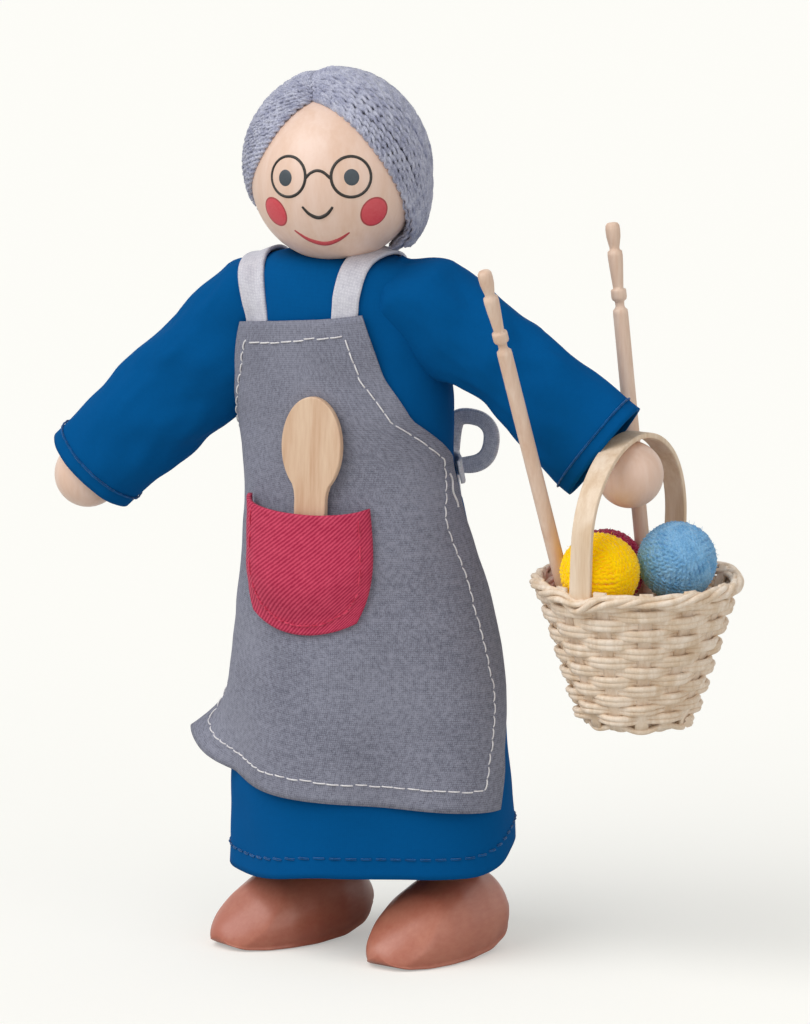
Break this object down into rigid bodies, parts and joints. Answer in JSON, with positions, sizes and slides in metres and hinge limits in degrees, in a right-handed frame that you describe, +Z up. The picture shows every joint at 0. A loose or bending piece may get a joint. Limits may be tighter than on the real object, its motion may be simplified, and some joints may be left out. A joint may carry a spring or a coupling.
{
  "type": "grandmother doll",
  "caption": "Turned wooden grandmother doll in a blue dress and grey apron, with pinned arms and legs, a spoon in the pocket and a yarn basket on the wrist.",
  "frame": {"origin": "middle of the bounding box's footprint, on the ground under the shoes", "axes": "+Z up, the doll faces -Y, +X is her left, the side of the basket"},
  "size_m": [0.0946, 0.0366, 0.1172],
  "materials": {
    "pale_wood": "clear matt varnish on turned wood",
    "plain_wood": "bare sanded wood",
    "brown_paint": "satin brown paint on wood",
    "brass": "drawn wire",
    "hair_yarn": "lavender grey plied yarn",
    "blue_cotton": "plain woven cotton",
    "grey_cotton": "plain woven cotton with white running stitch",
    "white_tape": "woven cotton tape",
    "red_twill": "cotton twill",
    "cane": "split cane, unvarnished",
    "yellow_yarn": "fuzzy yarn",
    "blue_yarn": "fuzzy yarn",
    "red_yarn": "fuzzy yarn"
  },
  "bodies": {
    "torso": {"torso_core": "plain_wood", "neck_peg": "plain_wood", "dress_bodice": "blue_cotton", "skirt": "blue_cotton", "apron": "grey_cotton", "apron_pocket": "red_twill", "right_strap": "white_tape", "left_strap": "white_tape", "right_tie": "grey_cotton", "left_tie": "grey_cotton", "tie_bow": "grey_cotton", "right_hip_pin": "brass", "left_hip_pin": "brass"},
    "head": {"head_ball": "pale_wood", "hair": "hair_yarn"},
    "right_shoulder": {"right_shoulder_yoke": "plain_wood", "right_lift_pin": "brass"},
    "right_upper_arm": {"right_upper_arm": "plain_wood", "right_elbow_pin": "brass", "right_sleeve": "blue_cotton"},
    "right_forearm": {"right_forearm": "plain_wood", "right_hand": "pale_wood"},
    "left_shoulder": {"left_shoulder_yoke": "plain_wood", "left_lift_pin": "brass"},
    "left_upper_arm": {"left_upper_arm": "plain_wood", "left_elbow_pin": "brass", "left_sleeve": "blue_cotton"},
    "left_forearm": {"left_forearm": "plain_wood", "left_hand": "pale_wood"},
    "right_thigh": {"right_thigh": "plain_wood", "right_knee_pin": "brass"},
    "right_shin": {"right_shin": "plain_wood", "right_shoe": "brown_paint"},
    "left_thigh": {"left_thigh": "plain_wood", "left_knee_pin": "brass"},
    "left_shin": {"left_shin": "plain_wood", "left_shoe": "brown_paint"},
    "basket": {"basket_bowl": "cane", "basket_handle": "cane"},
    "yellow_ball": {"yarn_ball_yellow": "yellow_yarn"},
    "blue_ball": {"yarn_ball_blue": "blue_yarn"},
    "red_ball": {"yarn_ball_red": "red_yarn"},
    "front_needle": {"knitting_needle_front": "pale_wood"},
    "back_needle": {"knitting_needle_back": "pale_wood"},
    "spoon": {"wooden_spoon": "pale_wood"}
  },
  "joints": [
    {"name": "neck_turn", "type": "hinge", "parent": "torso", "child": "head", "pos_m": [-0.00754, -0.00409, 0.10296], "axis": [-0.0384, -0.061, 0.9974], "range_deg": [-75, 75]},
    {"name": "right_shoulder_swing", "type": "hinge", "parent": "torso", "child": "right_shoulder", "pos_m": [-0.01866, -0.00315, 0.08765], "axis": [0.9993, -0.0023, 0.0383], "range_deg": [-100, 35], "deforming": ["right_sleeve", "dress_bodice"]},
    {"name": "right_shoulder_lift", "type": "hinge", "parent": "right_shoulder", "child": "right_upper_arm", "pos_m": [-0.01866, -0.00315, 0.08765], "axis": [-0.0051, -0.9973, 0.0726], "range_deg": [-60, 25], "deforming": ["right_sleeve", "dress_bodice"]},
    {"name": "right_elbow", "type": "hinge", "parent": "right_upper_arm", "child": "right_forearm", "pos_m": [-0.02993, -0.00402, 0.07495], "axis": [-0.7487, 0.052, 0.6609], "range_deg": [-10, 70], "deforming": ["right_sleeve"]},
    {"name": "left_shoulder_swing", "type": "hinge", "parent": "torso", "child": "left_shoulder", "pos_m": [0.00472, -0.00321, 0.08855], "axis": [0.9993, -0.0023, 0.0383], "range_deg": [-45, 25], "deforming": ["left_sleeve", "dress_bodice"]},
    {"name": "left_shoulder_lift", "type": "hinge", "parent": "left_shoulder", "child": "left_upper_arm", "pos_m": [0.00472, -0.00321, 0.08855], "axis": [-0.0055, 0.979, 0.2038], "range_deg": [-45, 4], "deforming": ["left_sleeve", "dress_bodice"]},
    {"name": "left_elbow", "type": "hinge", "parent": "left_upper_arm", "child": "left_forearm", "pos_m": [0.01789, -0.00095, 0.07804], "axis": [-0.632, 0.1545, -0.7594], "range_deg": [-5, 35], "deforming": ["left_sleeve"]},
    {"name": "right_hip", "type": "hinge", "parent": "torso", "child": "right_thigh", "pos_m": [-0.011, -0.00084, 0.04979], "axis": [0.9993, -0.0023, 0.0383], "range_deg": [-30, 15], "deforming": ["skirt", "apron"]},
    {"name": "right_knee", "type": "hinge", "parent": "right_thigh", "child": "right_shin", "pos_m": [-0.01175, 0.00081, 0.02915], "axis": [0.9993, 0.0029, -0.0362], "range_deg": [0, 45], "deforming": ["skirt", "apron"]},
    {"name": "left_hip", "type": "hinge", "parent": "torso", "child": "left_thigh", "pos_m": [-0.00001, -0.00086, 0.05021], "axis": [0.9993, -0.0023, 0.0383], "range_deg": [-30, 15], "deforming": ["skirt", "apron"]},
    {"name": "left_knee", "type": "hinge", "parent": "left_thigh", "child": "left_shin", "pos_m": [0.00394, 0.0008, 0.02935], "axis": [0.9826, -0.0147, 0.185], "range_deg": [0, 45], "deforming": ["skirt", "apron"]},
    {"name": "basket_swing", "type": "hinge", "parent": "left_forearm", "child": "basket", "pos_m": [0.03293, 0.00163, 0.06606], "axis": [0.9976, -0.0698, 0], "range_deg": [-35, 35]},
    {"name": "yellow_ball_lift", "type": "slide", "parent": "basket", "child": "yellow_ball", "axis": [0, 0, 1], "range_m": [0, 0.0035]},
    {"name": "blue_ball_lift", "type": "slide", "parent": "basket", "child": "blue_ball", "axis": [0.4864, 0.1159, 0.866], "range_m": [0, 0.018]},
    {"name": "red_ball_lift", "type": "slide", "parent": "basket", "child": "red_ball", "axis": [-0.4514, 0.2151, 0.866], "range_m": [0, 0.012]},
    {"name": "front_needle_pull", "type": "slide", "parent": "basket", "child": "front_needle", "axis": [-0.1241, -0.269, 0.9551], "range_m": [0, 0.025]},
    {"name": "back_needle_pull", "type": "slide", "parent": "basket", "child": "back_needle", "axis": [-0.129, 0.0476, 0.9905], "range_m": [0, 0.025]},
    {"name": "spoon_pull", "type": "slide", "parent": "torso", "child": "spoon", "axis": [0, 0.0628, 0.998], "range_m": [0, 0.012]}
  ],
  "couplings": [
    {"joint": "left_hip", "follows": "right_hip", "ratio": 1},
    {"joint": "left_knee", "follows": "right_knee", "ratio": 1}
  ]
}
